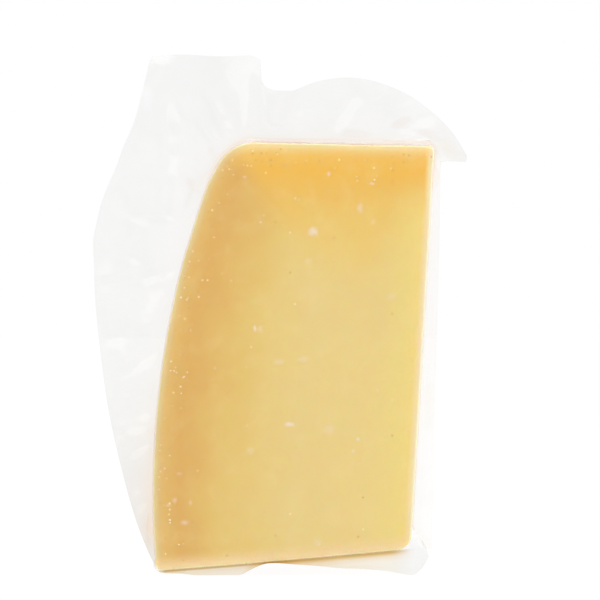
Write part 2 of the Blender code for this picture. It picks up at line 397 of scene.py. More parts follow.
def finished(name, bm, made_of, replaces=None):
    """A bmesh in millimetres becomes a piece of the object, in its place."""
    bmesh.ops.recalc_face_normals(bm, faces=bm.faces)
    bmesh.ops.translate(bm, verts=bm.verts, vec=(LEFT, FRONT + SEAM_DEPTH, 0))
    bmesh.ops.scale(bm, vec=Vector((MM, MM, MM)), verts=bm.verts)
    mesh = bpy.data.meshes.new(name)
    bm.to_mesh(mesh)
    bm.free()
    mesh.shade_smooth()
    mesh.set_sharp_from_angle(angle=radians(50))
    mesh.materials.append(made_of)
    piece = bpy.data.objects.new(name, mesh)
    bpy.context.scene.collection.objects.link(piece)
    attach(piece, "root")
    if replaces:
        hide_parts(replaces)
    return piece


# ---------------------------------------------------------------- materials


def node(tree, kind, sets=None, **inputs):
    """Adds a shader node. sets are its settings; inputs are values or other nodes' outputs, by the
    socket's name with _ for a space, or by i and its number."""
    made = tree.nodes.new(kind)
    for key, value in (sets or {}).items():
        setattr(made, key, value)
    for key, value in inputs.items():
        numbered = key[0] == "i" and key[1:].isdigit()
        socket = made.inputs[int(key[1:]) if numbered else key.replace("_", " ")]
        if isinstance(value, bpy.types.NodeSocket):
            tree.links.new(value, socket)
        else:
            socket.default_value = value
    return made


def math(tree, operation, first, second=0.0, third=0.0):
    return node(tree, "ShaderNodeMath", {"operation": operation}, i0=first, i1=second, i2=third).outputs[0]


def ramp(tree, value, stops):
    """A colour ramp. stops are (place, (r, g, b)), with colours as sRGB bytes."""
    made = node(tree, "ShaderNodeValToRGB", Fac=value)
    elements = made.color_ramp.elements
    elements[0].position, elements[0].color = stops[0][0], srgb(*stops[0][1])
    elements[1].position, elements[1].color = stops[-1][0], srgb(*stops[-1][1])
    for place, colour in stops[1:-1]:
        elements.new(place).color = srgb(*colour)
    return made.outputs["Color"]


def srgb(red, green, blue):
    """A colour given as sRGB bytes, as the linear values that shaders use."""
    shares = [byte / 255 for byte in (red, green, blue)]
    return (*[s / 12.92 if s <= 0.04045 else ((s + 0.055) / 1.055) ** 2.4 for s in shares], 1.0)


def mix(tree, factor, first, second, blend="MIX"):
    sets = {"data_type": "RGBA", "blend_type": blend}
    made = node(tree, "ShaderNodeMix", sets)
    for socket, value in zip([made.inputs[0], made.inputs[6], made.inputs[7]], (factor, first, second)):
        if isinstance(value, bpy.types.NodeSocket):
            tree.links.new(value, socket)
        else:
            socket.default_value = value
    return made.outputs[2]


def map_range(tree, value, low, high, to_low=0.0, to_high=1.0, smooth=True):
    sets = {"interpolation_type": "SMOOTHSTEP" if smooth else "LINEAR"}
    return node(
        tree,
        "ShaderNodeMapRange",
        sets,
        Value=value,
        From_Min=low,
        From_Max=high,
        To_Min=to_low,
        To_Max=to_high,
    ).outputs[0]


def attribute(tree, name):
    return node(tree, "ShaderNodeAttribute", {"attribute_name": name}).outputs["Fac"]


def noise_value(tree, vector, scale, detail=3.0, roughness=0.5):
    inputs = {"Vector": vector, "Scale": scale, "Detail": detail, "Roughness": roughness}
    return node(tree, "ShaderNodeTexNoise", **inputs).outputs[0]


def cells_value(tree, vector, scale):
    """A cell pattern's distance from each cell's middle, and three random numbers for each cell."""
    inputs = {"Vector": vector, "Scale": scale, "Randomness": 1.0}
    cells = node(tree, "ShaderNodeTexVoronoi", {"feature": "F1"}, **inputs)
    draws = node(tree, "ShaderNodeSeparateColor", Color=cells.outputs["Color"]).outputs
    return cells.outputs["Distance"], draws


def vector_math(tree, operation, **inputs):
    return node(tree, "ShaderNodeVectorMath", {"operation": operation}, **inputs).outputs


def new_material(name):
    made = bpy.data.materials.new(name)
    made.use_nodes = True
    tree = made.node_tree
    tree.nodes.clear()
    place = node(tree, "ShaderNodeTexCoord").outputs["Object"]
    return made, tree, place


def finish_material(tree, shader):
    node(tree, "ShaderNodeOutputMaterial", Surface=shader)


# Pale crystals and blemishes on the front face: X, Z, half width, half height, strength.
CRYSTALS = [
    (41.3, 88.4, 1.5, 1.3, 0.78),
    (53.3, 94.4, 0.9, 1.4, 0.4),
    (56.7, 90.8, 0.9, 1.1, 0.22),
    (40.0, 80.9, 0.9, 0.8, 0.2),
    (61.4, 71.8, 1.2, 0.9, 0.25),
    (26.3, 63.5, 0.5, 0.9, 0.8),
    (27.7, 63.3, 0.8, 0.9, 0.35),
    (32.5, 54.9, 1.5, 0.8, 0.25),
    (38.7, 55.7, 1.6, 0.8, 0.28),
    (35.1, 38.8, 1.4, 0.7, 0.85),
    (45.5, 37.5, 1.7, 1.5, 0.25),
    (52.8, 35.0, 0.6, 0.5, 0.6),
    (51.5, 31.9, 0.5, 0.6, 0.4),
    (25.0, 32.1, 1.4, 1.2, 0.22),
    (42.4, 8.4, 1.3, 1.3, 0.25),
    (8.3, 13.5, 1.3, 0.8, 0.45),
    (5.7, 19.3, 0.7, 0.9, 0.45),
    (4.0, 18.0, 0.8, 0.5, 0.35),
    (9.8, 18.6, 0.6, 0.8, 0.35),
    (6.9, 26.1, 0.9, 0.5, 0.3),
    (45.3, 103.2, 0.6, 0.7, 0.5),
    (23.7, 102.4, 0.6, 0.4, 0.4),
    (36.7, 96.9, 0.4, 0.4, 0.5),
    (56.4, 100.7, 1.0, 0.4, 0.5),
    (61.2, 104.6, 0.3, 0.3, 0.6),
]
CRYSTAL_DEPTH = 2.0

# What the studio's light and the film over the cheese do to its colour.
LIGHT_GAIN = (1.0, 0.9, 0.75)
FILM_VEIL = (0.07, 0.075, 0.07)
ZONE = 60.0  # mm under the rind that the colour ramps cover


def as_seen(red, green, blue):
    """The base colour that looks like these sRGB bytes through the film, in the studio's light."""
    values = zip(srgb(red, green, blue), FILM_VEIL, LIGHT_GAIN)
    return (*[max(0.01, (value - veil) / gain) for value, veil, gain in values], 1.0)


def zone_ramp(tree, depth, stops):
    """A ramp over the depth under the rind in mm, with colours as they look in the end."""
    made = node(tree, "ShaderNodeValToRGB", Fac=depth)
    elements = made.color_ramp.elements
    elements[1].position = 1.0
    for place, colour in stops[1:-1]:
        elements.new(place / ZONE)
    for element, (place, colour) in zip(elements, stops):
        element.position, element.color = place / ZONE, as_seen(*colour)
    return made.outputs["Color"]


# The paste's colours by the depth in mm under the rind, the inner cut and the lower cut.
# In the first 2 mm under the side and top rinds the ramps hold a painted highlight where the film
# catches the light along the cut faces' edges: a bright cream line with darker lines beside it, and a
# pale band.
UNDER_SIDE_RIND = [
    (0.0, (228, 213, 176)),
    (0.3, (210, 188, 138)),
    (0.7, (219, 199, 143)),
    (1.5, (225, 192, 124)),
    (2.6, (229, 187, 111)),
    (6.0, (227, 179, 103)),
    (9.0, (227, 181, 105)),
    (13.0, (229, 187, 109)),
    (19.0, (231, 195, 116)),
    (27.0, (234, 202, 127)),
    (36.0, (234, 204, 134)),
    (60.0, (237, 207, 134)),
]
UNDER_TOP_RIND = [
    (0.0, (210, 195, 157)),
    (0.2, (229, 214, 174)),
    (0.4, (229, 211, 163)),
    (0.6, (221, 202, 151)),
    (1.0, (233, 209, 150)),
    (1.8, (236, 205, 129)),
    (3.0, (239, 196, 109)),
    (4.0, (241, 193, 98)),
    (7.0, (241, 190, 92)),
    (13.0, (238, 192, 102)),
    (20.0, (237, 198, 113)),
    (27.0, (236, 202, 123)),
    (38.0, (234, 204, 133)),
    (60.0, (236, 206, 134)),
]
# Painted glow: light comes through the paste's edges at these two cuts, painted in as pale colour.
GLOW_NEAR_INNER_CUT = [
    (0.0, (226, 214, 188)),
    (0.6, (230, 213, 173)),
    (1.2, (234, 214, 158)),
    (2.2, (238, 212, 131)),
    (60.0, (238, 208, 114)),
]
GLOW_NEAR_LOWER_CUT = [
    (0.0, (253, 238, 204)),
    (0.35, (251, 228, 184)),
    (0.7, (240, 212, 158)),
    (2.5, (238, 208, 148)),
    (60.0, (238, 208, 146)),
]


def crystal_spots(tree, place):
    """A mask of the placed crystals."""
    ragged = math(tree, "MULTIPLY", noise_value(tree, place, 1300.0, 3.0, 0.6), 1.2)
    spots = 0.0
    for x, z, half_width, half_height, strength in CRYSTALS:
        centre = Vector((x + LEFT, FRONT, z)) * MM
        size = Vector((1 / half_width, 1 / CRYSTAL_DEPTH, 1 / half_height)) / MM
        away = vector_math(tree, "SUBTRACT", i0=place, i1=centre)[0]
        scaled = vector_math(tree, "MULTIPLY", i0=away, i1=size)[0]
        reach = vector_math(tree, "LENGTH", i0=scaled)["Value"]
        spot = map_range(tree, math(tree, "ADD", reach, ragged), 0.7, 1.9, strength, 0.0)
        spots = math(tree, "MAXIMUM", spots, spot)
    return spots


def paste_colour(tree, place):
    """The paste's colour, browner under the rind, with a painted highlight along the cut faces' edges
    under the rind and a painted glow of pale edges at the inner and lower cuts.
    """
    depth, top_share, inner = [attribute(tree, name) for name in ("rind_depth", "top_share", "inner_depth")]
    foot, cut_depth = [attribute(tree, name) for name in ("foot_depth", "cut_depth")]
    # The brown zone under the rind has a soft, uneven inner limit.
    wander = noise_value(tree, place, 90.0, 3.0)
    sway = math(tree, "MULTIPLY", map_range(tree, wander, 0.3, 0.7, -3.0, 3.0, smooth=False),
                map_range(tree, depth, 1.0, 12.0))
    share = math(tree, "DIVIDE", math(tree, "ADD", depth, sway), ZONE)
    # Under the rind these ramps hold the painted highlight along the cut faces' edges.
    by_side, by_top = zone_ramp(tree, share, UNDER_SIDE_RIND), zone_ramp(tree, share, UNDER_TOP_RIND)
    paste = mix(tree, top_share, by_side, by_top)
    # Painted glow: pale edges at the inner and lower cuts, where light comes through the paste, seen on the
    # two large faces.
    rim = map_range(tree, cut_depth, 0.8, 3.0, 1.0, 0.0)
    below_top = map_range(tree, depth, 5.0, 22.0)
    glow = math(tree, "MULTIPLY", map_range(tree, inner, 1.5, 13.0, 0.9, 0.0), below_top)
    glow = math(tree, "MAXIMUM", glow, map_range(tree, inner, 1.0, 2.6, 1.0, 0.0))
    paste = mix(tree, math(tree, "MULTIPLY", glow, rim), paste,
                zone_ramp(tree, math(tree, "DIVIDE", inner, ZONE), GLOW_NEAR_INNER_CUT))
    glow = map_range(tree, foot, 0.6, 5.0, 1.0, 0.0)
    return mix(tree, math(tree, "MULTIPLY", glow, rim), paste,
               zone_ramp(tree, math(tree, "DIVIDE", foot, ZONE), GLOW_NEAR_LOWER_CUT))


def with_crystals(tree, place, paste):
    """Adds the placed crystals on the front face, and small ones all through the paste."""
    depth = attribute(tree, "rind_depth")
    reach, draws = cells_value(tree, place, 240.0)
    chosen = map_range(tree, draws[0], 0.86, 0.9)
    small = math(tree, "MULTIPLY", map_range(tree, reach, 0.04, 0.13, 0.3, 0.0), chosen)
    small = math(tree, "MULTIPLY", small, map_range(tree, depth, 2.0, 8.0))
    spots = math(tree, "MAXIMUM", crystal_spots(tree, place), small)
    return mix(tree, spots, paste, as_seen(244, 219, 192))


def with_flecks(tree, place, paste):
    """Adds tiny pale and dark flecks, most of them under the rind."""
    depth = attribute(tree, "rind_depth")
    reach, draws = cells_value(tree, place, 800.0)
    band = map_range(tree, depth, 1.0, 2.4)
    band = math(tree, "MULTIPLY", band, map_range(tree, depth, 5.0, 9.0, 1.0, 0.0))
    band = math(tree, "MULTIPLY_ADD", band, 0.4, 0.02)
    chosen = math(tree, "LESS_THAN", draws[0], band)
    fleck = math(tree, "MULTIPLY", chosen, map_range(tree, reach, 0.12, 0.3, 0.8, 0.0))
    pale = math(tree, "GREATER_THAN", draws[1], 0.36)
    return mix(tree, fleck, paste, mix(tree, pale, as_seen(214, 170, 103), as_seen(250, 226, 168)))


def cheese_material():
    made, tree, place = new_material("hard cheese")
    paste = paste_colour(tree, place)
    # Faint clouds and grain in the paste.
    clouds = noise_value(tree, place, 160.0, 4.0, 0.6)
    paste = mix(tree, map_range(tree, clouds, 0.45, 0.8, 0.0, 0.25), paste, as_seen(244, 218, 152))
    grain = noise_value(tree, place, 1400.0, 2.0, 0.6)
    paste = mix(tree, map_range(tree, grain, 0.5, 0.8, 0.0, 0.16), paste, as_seen(214, 172, 104))
    paste = with_flecks(tree, place, with_crystals(tree, place, paste))
    # The rind's own surface, which thins out at its edges.
    stain = noise_value(tree, place, 60.0, 6.0, 0.7)
    rind = ramp(tree, stain, [(0.3, (168, 114, 56)), (0.5, (203, 149, 80)), (0.72, (228, 181, 108))])
    pits = cells_value(tree, place, 1100.0)[0]
    rind = mix(tree, map_range(tree, pits, 0.35, 0.75, 0.0, 0.45), rind, srgb(150, 98, 48))
    depth, in_face, cut_depth = [attribute(tree, name) for name in ("rind_depth", "in_face", "cut_depth")]
    outer = map_range(tree, depth, 0.2, 0.7, 1.0, 0.0)
    outer = math(tree, "MULTIPLY", outer, map_range(tree, in_face, 0.04, 0.2, 1.0, 0.0))
    outer = math(tree, "MULTIPLY", outer, map_range(tree, cut_depth, 0.6, 2.4, 0.4, 1.0))
    colour = mix(tree, outer, paste, rind)
    rough = math(tree, "MULTIPLY_ADD", outer, 0.12, map_range(tree, grain, 0.2, 0.8, 0.42, 0.55))
    height = math(tree, "MULTIPLY_ADD", clouds, 0.8, grain)
    height = math(tree, "SUBTRACT", height, math(tree, "MULTIPLY", outer, pits))
    bump = node(tree, "ShaderNodeBump", Strength=0.25, Distance=0.00012, Height=height).outputs[0]
    shader = node(
        tree,
        "ShaderNodeBsdfPrincipled",
        Base_Color=colour,
        Roughness=rough,
        Normal=bump,
        Subsurface_Weight=1.0,
        Subsurface_Radius=Vector((1.0, 0.55, 0.22)),
        Subsurface_Scale=0.0035,
        Coat_Weight=1.0,
        Coat_Roughness=0.12,
        Coat_IOR=1.25,
        Specular_IOR_Level=0.25,
    )
    finish_material(tree, shader.outputs[0])
    return made


# The folded film's colour by the distance under the cheese's edge in mm, on the rind's side and on
# the inner cut's side: a painted shadow line right under the edge, then the cheese's colour as a
# painted reflection fading to clear.
SKIRT_SHADE_BY_RIND = [
    (-0.45, (255, 255, 255)),
    (-0.2, (208, 184, 134)),
    (0.1, (212, 188, 142)),
    (0.35, (246, 238, 220)),
    (1.1, (248, 242, 230)),
    (2.2, (250, 246, 240)),
    (5.0, (253, 253, 252)),
]
SKIRT_SHADE_BY_INNER_CUT = [
    (-0.45, (255, 255, 255)),
    (-0.2, (206, 178, 126)),
    (0.2, (212, 180, 118)),
    (0.5, (236, 206, 152)),
    (0.75, (241, 221, 186)),
    (1.1, (247, 235, 214)),
    (2.2, (252, 247, 238)),
    (5.0, (252, 251, 247)),
]


def skirt_painted_shade(tree, place, skirt_shade):
    """The painted shadow and reflection of the cheese on the folded film, by how far it is under the
    cheese's lower edge.
    """
    x, _, z = node(tree, "ShaderNodeSeparateXYZ", Vector=place).outputs
    x = math(tree, "MULTIPLY_ADD", x, 1 / MM, -LEFT)
    share = math(tree, "DIVIDE", x, INNER_FOOT)
    bow = math(tree, "MULTIPLY", share, math(tree, "SUBTRACT", 1.0, share))
    foot = math(tree, "MULTIPLY_ADD", x, tan(FOOT_RISE), FOOT_LEFT_HEIGHT)
    foot = math(tree, "MULTIPLY_ADD", bow, -4 * FOOT_BOW, foot)
    under = math(tree, "SUBTRACT", foot, math(tree, "DIVIDE", z, MM))
    ends = math(tree, "MULTIPLY", map_range(tree, x, 0.8, 3.6), map_range(tree, x, 61.0, 68.0, 1.0, 0.0))
    # A painted shadow line under the cheese's edge, then the cheese's painted reflection fading to clear.
    painted_shades = []
    for colours in (SKIRT_SHADE_BY_RIND, SKIRT_SHADE_BY_INNER_CUT):
        first, last = colours[0][0], colours[-1][0]
        stops = [((depth - first) / (last - first), colour) for depth, colour in colours]
        painted_shades.append(ramp(tree, map_range(tree, under, first, last, smooth=False), stops))
    painted_shade = mix(tree, map_range(tree, x, 10.0, 45.0), *painted_shades)
    return mix(tree, math(tree, "MULTIPLY", skirt_shade, ends), srgb(255, 255, 255), painted_shade)


def film_material():
    """Clear film. Its attributes grey it, partly with its own haze and partly with painted shade at its
    folds and low by the rind; paint the cheese's colour into it as a painted reflection, and as a
    painted shadow and reflection on the folded end under the cheese; and take its gloss away."""
    made, tree, place = new_material("clear film")
    haze_and_shade, cheese_reflection, skirt_shade, dull = [attribute(tree, key) for key in ("haze_and_shade", "cheese_reflection", "skirt_shade", "dull")]
    # Grey from the film's own haze, with painted shade at its folds and low by the rind.
    clear = mix(tree, haze_and_shade, srgb(254, 254, 254), srgb(243, 243, 242))
    # The cheese's colour multiplied in as a painted reflection near the chunk.
    through = mix(tree, cheese_reflection, clear, srgb(250, 208, 150), "MULTIPLY")
    # On the folded end: a painted shadow under the cheese's edge, with its painted reflection below.
    through = mix(tree, 1.0, through, skirt_painted_shade(tree, place, skirt_shade), "MULTIPLY")
    ripple = noise_value(tree, place, 260.0, 3.0, 0.5)
    bump = node(tree, "ShaderNodeBump", Strength=0.6, Distance=0.00006, Height=ripple).outputs[0]
    passing = node(tree, "ShaderNodeBsdfTransparent", Color=through).outputs[0]
    gloss = node(
        tree,
        "ShaderNodeBsdfPrincipled",
        Base_Color=srgb(250, 250, 250),
        Metallic=1.0,
        Roughness=0.16,
        Normal=bump,
    ).outputs[0]
    # Both sides of the thin film reflect alike: little straight on, and much at a grazing angle.
    facing = node(tree, "ShaderNodeLayerWeight", Blend=0.5, Normal=bump).outputs["Facing"]
    mirror = math(tree, "MULTIPLY_ADD", math(tree, "POWER", facing, 5.0), 0.55, 0.04)
    mirror = math(tree, "MULTIPLY", mirror, math(tree, "SUBTRACT", 1.0, dull))
    shader = node(tree, "ShaderNodeMixShader", i0=mirror, i1=passing, i2=gloss)
    finish_material(tree, shader.outputs[0])
    return made


# ---------------------------------------------------------------- the cheese


def rind_depths(x, z):
    """How deep a point of the section lies under the side rind, the top rind, and the nearer."""
    away = Vector((x, z)) - BARREL
    side = BARREL_RADIUS - away.length - flattened(BARREL.y + BARREL_RADIUS * away.normalized().y)
    top = (top_height(x) - z) * cos(TOP_FALL)
    away = Vector((x, z)) - EDGE_CENTRE
    if pi / 2 - TOP_FALL < atan2(away.y, away.x) < angle_from(BARREL, EDGE_CENTRE):
        surface = EDGE_CENTRE.y + WHEEL_EDGE_RADIUS * away.normalized().y
        return side, top, WHEEL_EDGE_RADIUS - away.length - flattened(surface)
    return side, top, min(side, top)


def inner_depth(x, z):
    """How far a point of the section lies outside the inner cut, towards the rind."""
    low, high = foot_height(INNER_FOOT), top_height(INNER_TOP)
    return INNER_FOOT + (INNER_TOP - INNER_FOOT) * (z - low) / (high - low) - x


def cut_depth(p):
    """How far a point lies behind the nearer of the two large cut faces."""
    radius = hypot(WHEEL_RADIUS - p.x, p.y + SEAM_DEPTH)
    turn = atan2(p.y + SEAM_DEPTH, WHEEL_RADIUS - p.x)
    return max(0.0, radius * min(turn, RIND_THICKNESS / WHEEL_RADIUS - turn))


def cheese_relief(point, depth):
    """How far the surface stands out: it is gently waved, and rougher on the rind."""
    relief = 0.10 * fbm(point, 16.0, 2) + 0.05 * fbm(point, 4.0, 3) - 0.12
    if depth < RIND_SKIN:
        relief += 0.10 * fbm(point, 6.0, 3) - 0.06 * abs(fbm(point, 1.6, 2)) - 0.05
    return min(RELIEF_LIMIT, relief)


def make_cheese(made_of):
    bm = chunk_shell(CHUNK.points, 0.0, RIM_RADIUS, CHEESE_SQUARE)
    names = ("rind_depth", "top_share", "in_face", "inner_depth", "foot_depth", "cut_depth")
    layers = [bm.verts.layers.float.new(name) for name in names]
    moves = []
    for vert in bm.verts:
        x, z = section_place(vert.co)
        side, top, depth = rind_depths(x, z)
        in_face = (CHUNK.at(CHUNK.place_of((x, z))) - Vector((x, z))).length
        top_share = eased(side - top, -4, 6)
        values = (depth, top_share, in_face, inner_depth(x, z), z - foot_height(x), cut_depth(vert.co))
        for layer, value in zip(layers, values):
            vert[layer] = value
        moves.append((vert, vert.normal * cheese_relief(vert.co, depth)))
    for vert, move in moves:
        vert.co += move
    return finished("cheese", bm, made_of, "cheese_chunk")


def crumb_places():
    """Where crumbs lie under the film on the front face, as (X, Z, radius): most of them along the
    side rind, and every fourth one below the top rind."""
    draw = random.Random(11)
    found = []
    while len(found) < CRUMB_COUNT:
        z = draw.uniform(6, 108)
        rind = BARREL.x - sqrt(BARREL_RADIUS**2 - (z - BARREL.y) ** 2)
        x = rind + 1.6 + 5.5 * draw.random() ** 1.5
        if len(found) % 4 == 3:
            x, z = draw.uniform(20, 66), top_height(40) - draw.uniform(4, 22)
        if rind_depths(x, z)[2] > 1.5:
            found.append((x, z, draw.uniform(0.09, 0.26)))
    return found


def make_crumbs(made_of):
    """Ragged crumbs that the film presses flat."""
    bm = bmesh.new()
    for x, z, radius in crumb_places():
        made = bmesh.ops.create_icosphere(bm, subdivisions=2, radius=radius)["verts"]
        for vert in made:
            p = vert.co
            p *= 1 + 0.35 * fbm((p.x + x, p.y, p.z + z), 0.35, 2)
            vert.co = (1.3 * p.x + x, 0.45 * p.y - SEAM_DEPTH + 0.05, p.z + z)
    return finished("crumbs", bm, made_of)


def crumb_material():
    made, tree, place = new_material("cheese crumbs")
    tone = map_range(tree, noise_value(tree, place, 500.0, 2.0), 0.35, 0.65)
    colour = mix(tree, tone, as_seen(232, 190, 122), as_seen(248, 226, 174))
    coat = {"Coat_Weight": 1.0, "Coat_IOR": 1.25}
    shader = node(tree, "ShaderNodeBsdfPrincipled", Base_Color=colour, Roughness=0.5, **coat)
    finish_material(tree, shader.outputs[0])
    return made


# ---------------------------------------------------------------- the film


def pouch_outline():
    """The section of the film: close round the chunk, and folded down to the table under it."""
    rise = (FOLD_RIGHT_JOIN - FOLD_LEFT_JOIN) / INNER_FOOT
    close = [p for p in grown(CHUNK.points, CLING) if p.y > FOLD_LEFT_JOIN + rise * p.x]
    return [*close, *[Vector((p.x, max(0.0, p.y))) for p in smooth_stretch(FOLD_EDGE, 6)]]


POUCH = Loop(pouch_outline(), FILM_SPACING)


def sheet_stretches():
    """The sheet's outer edge, as (place where it starts, place where it ends, curve, lengths)."""
    starts = [POUCH.place_of(point) for point in [anchor for anchor, _ in SHEET_EDGE] + [SHEET_END]]
    found = []
    for (_, stretch), start, end in zip(SHEET_EDGE, starts, starts[1:]):
        curve = smooth_stretch(stretch, 8)
        lengths = [0.0]
        for a, b in zip(curve, curve[1:]):
            lengths.append(lengths[-1] + (b - a).length)
        found.append((start, end, curve, lengths))
    return found


STRETCHES = sheet_stretches()
SEAM_START, SEAM_END = STRETCHES[0][0], STRETCHES[-1][1]


def sheet_edge_at(place):
    """The point of the sheet's outer edge opposite a place on the clinging film."""
    for corner_place, _, curve, _ in STRETCHES[1:]:
        if abs(place - corner_place) <= POUCH.step / 2:
            return curve[0]
    start, end, curve, lengths = next((s for s in STRETCHES if place <= s[1]), STRETCHES[-1])
    goal = lengths[-1] * between(place, start, end)
    piece = 0
    while piece < len(curve) - 2 and lengths[piece + 1] < goal:
        piece += 1
    step = lengths[piece + 1] - lengths[piece]
    return curve[piece].lerp(curve[piece + 1], (goal - lengths[piece]) / step)


# The film is gathered more at these corners: (corner, reach to each side, number of pleats).
GATHERED_CORNERS = [((17.0, 107.0), 12.0, 9), ((72.0, 108.0), 6.0, 4), ((0.6, 8.0), 6.0, 4)]
LOOSE_GATHERS = 42


def make_gathers():
    """Where the film is gathered into pleats: (place round the chunk, width, height)."""
    draw = random.Random(7)
    found = []
    for _ in range(LOOSE_GATHERS):
        place = draw.uniform(SEAM_START, SEAM_END)
        found.append((place, draw.uniform(0.8, 2.2), draw.uniform(0.1, 0.5)))
    for corner, spread, count in GATHERED_CORNERS:
        middle = POUCH.place_of(corner)
        for _ in range(count):
            place = middle + draw.uniform(-spread, spread)
            found.append((place, draw.uniform(0.8, 1.5), draw.uniform(0.3, 1.0)))
    return found


GATHERS = make_gathers()


def gather(place):
    """How high the pleats are at a place round the chunk."""
    total = 0.0
    for middle, width, height in GATHERS:
        across = (place - middle) / width
        if abs(across) < 2.5:
            total += height * exp(-across * across)
    return total


def fillet_radius(place):
    """The radius with which the clinging film turns outwards into the sheet."""
    if not SEAM_START < place < SEAM_END:
        return 0.0
    room = (sheet_edge_at(place) - POUCH.at(place)).length
    ends = eased(place, SEAM_START, SEAM_START + 5) * (1 - eased(place, SEAM_END - 5, SEAM_END))
    return ends * min(0.7 + 0.2 * sin(place / 7.0) + gather(place), 0.6 * room)


def sheet_depth(x, z):
    """How far the welded sheet stands behind the seam's plane."""
    tab = TAB_LEAN * between(z, 112, 134) ** 2 * (1 - between(x, 20, 34))
    ear = -EAR_CURL * between(x, 44, 82) ** 2 * eased(z, 98, 112)
    side = RIND_SIDE_BOW * (1 - between(x, -16, 0)) * sin(pi * between(z, 0, 112))
    return tab + ear + side


# Folds across the sheet: from (X, Z) to (X, Z), height and width.
FOLDS = [
    ((3.5, 118), (3.0, 92), 0.7, 2.2),
    ((-6.5, 92.3), (4.0, 91.6), 0.3, 1.2),
    ((-7.2, 89), (-6.6, 80), 0.4, 1.6),
    ((-10, 99), (-7, 95), 0.4, 1.4),
    ((18, 109), (8, 120), 0.5, 1.2),
    ((20, 110.5), (14, 124), 0.5, 1.3),
    ((23, 111), (22, 126), 0.4, 1.2),
    ((34, 112), (37, 123), 0.7, 2.2),
    ((30, 112), (27, 130), 0.5, 1.6),
    ((44, 111), (52, 124), 0.5, 1.8),
    ((58, 111), (70, 118), 0.5, 1.8),
    ((8, 78), (-12, 74), 0.4, 1.6),
    ((4, 58), (-10, 50), 0.4, 1.6),
    ((1, 34), (-7, 30), 0.4, 1.3),
    ((0, 20), (-5, 16), 0.4, 1.2),
]


def fold_height(here):
    """How high the sheet's folds are at a point."""
    total = 0.0
    for start, end, height, width in FOLDS:
        start, way = Vector(start), Vector(end) - Vector(start)
        share = (here - start).dot(way) / way.length_squared
        across = (here - start - way * share).length / width
        if across < 2.5 and -0.3 < share < 1.3:
            fade = min(eased(share, -0.3, 0.1), 1 - eased(share, 0.8, 1.3))
            total += height * fade * exp(-across * across)
    return total


def web_depth(here, place, away):
    """How far the sheet stands behind the seam's plane, with its waves and folds."""
    waves = 0.9 * fbm((here.x, 3.0, here.y), 17.0, 2) + 0.25 * fbm((here.x, 9.0, here.y), 5.0, 2)
    drawn = -0.35 * gather(place) * exp(-away / 7.0)
    from_chunk = eased(away, 0, 6)
    root_depth = sheet_depth(*POUCH.at(place))
    lean = root_depth + (sheet_depth(*here) - root_depth) * from_chunk
    return lean + eased(away, 0, 4) * (waves + fold_height(here) + drawn)


def cut_across(bm, y):
    """Cuts the whole film at a depth."""
    geom = [*bm.verts, *bm.edges, *bm.faces]
    bmesh.ops.bisect_plane(bm, geom=geom, dist=SEAM_SNAP, plane_co=(0, y, 0), plane_no=(0, 1, 0))


def split_seam(bm, place_layer):
    """Opens the film along the seam. Gives the front rim's edges and the back rim's."""
    on_seam = {vert for vert in bm.verts if abs(vert.co.y) < 1.5 * SEAM_SNAP}
    for vert in on_seam:
        vert.co.y = 0.0
    seam = []
    for edge in bm.edges:
        places = [vert[place_layer] for vert in edge.verts]
        if on_seam.issuperset(edge.verts) and SEAM_START < min(places) and max(places) < SEAM_END:
            seam.append(edge)
    bmesh.ops.split_edges(bm, edges=seam)
    rims = {-1: [], 1: []}
    for edge in bm.edges:
        if len(edge.link_faces) == 1:
            rims[1 if edge.link_faces[0].calc_center_median().y > 0 else -1].append(edge)
    return rims


def extrude_web(bm, rims, place_layer, root_layer, away_layer):
    """Draws both rims of the seam out to the sheet's edge, and welds them there."""
    places = [vert[place_layer] for rim in rims.values() for edge in rim for vert in edge.verts]
    first, last = min(places), max(places)
    for side, rim in rims.items():
        for ring in range(1, WEB_RINGS + 1):
            made = bmesh.ops.extrude_edge_only(bm, edges=rim)["geom"]
            verts = [part for part in made if isinstance(part, bmesh.types.BMVert)]
            new = set(verts)
            edges = [part for part in made if isinstance(part, bmesh.types.BMEdge)]
            rim = [edge for edge in edges if new.issuperset(edge.verts)]
            share = (ring / WEB_RINGS) ** 1.6
            for vert in verts:
                place, root = vert[place_layer], vert[root_layer]
                root = Vector((root.x, root.z))
                here = root.lerp(sheet_edge_at(place), share)
                away = (here - root).length
                ends = eased(place, first, first + 3) * (1 - eased(place, last - 3, last))
                gap = WEB_THICKNESS / 2 * ends * (1 - share**6)
                vert.co = (here.x, web_depth(here, place, away) + side * gap, here.y)
                vert[away_layer] = away


def turn_out_at_seam(bm, rims, place_layer, root_layer, fillet_layer):
    """Rounds the clinging film outwards into the sheet, and draws the seam to the sheet's depth."""
    seam = {vert: side for side, rim in rims.items() for edge in rim for vert in edge.verts}
    for vert in bm.verts:
        place, depth = vert[place_layer], abs(vert.co.y)
        radius = fillet_radius(place)
        side = seam.get(vert, 1 if vert.co.y > 0 else -1)
        if depth < radius:
            lift = radius - sqrt(radius**2 - (radius - depth) ** 2)
            way = POUCH.outward(place)
            gap = min(WEB_THICKNESS / 2, radius / 2)
            vert.co += Vector((way.x, 0, way.y)) * lift
            vert.co.y = side * (gap + depth * (radius - gap) / radius)
            vert[fillet_layer] = 1 - depth / radius
        at = POUCH.at(place)
        back_face = RIND_THICKNESS * (1 - at.x / WHEEL_RADIUS) - SEAM_DEPTH
        reach = min(SEAM_SHIFT_REACH, back_face - FACE_MARGIN)
        if depth < reach:
            vert.co.y += sheet_depth(*at) * (1 - depth / reach)
        vert[root_layer] = vert.co


def web_slope(here, place, away):
    """How steep the sheet's waves and folds are at a point."""
    step = 0.4
    level = web_depth(here, place, away)
    across = web_depth(here + Vector((step, 0)), place, away) - level
    up = web_depth(here + Vector((0, step)), place, away) - level
    return hypot(across, up) / step


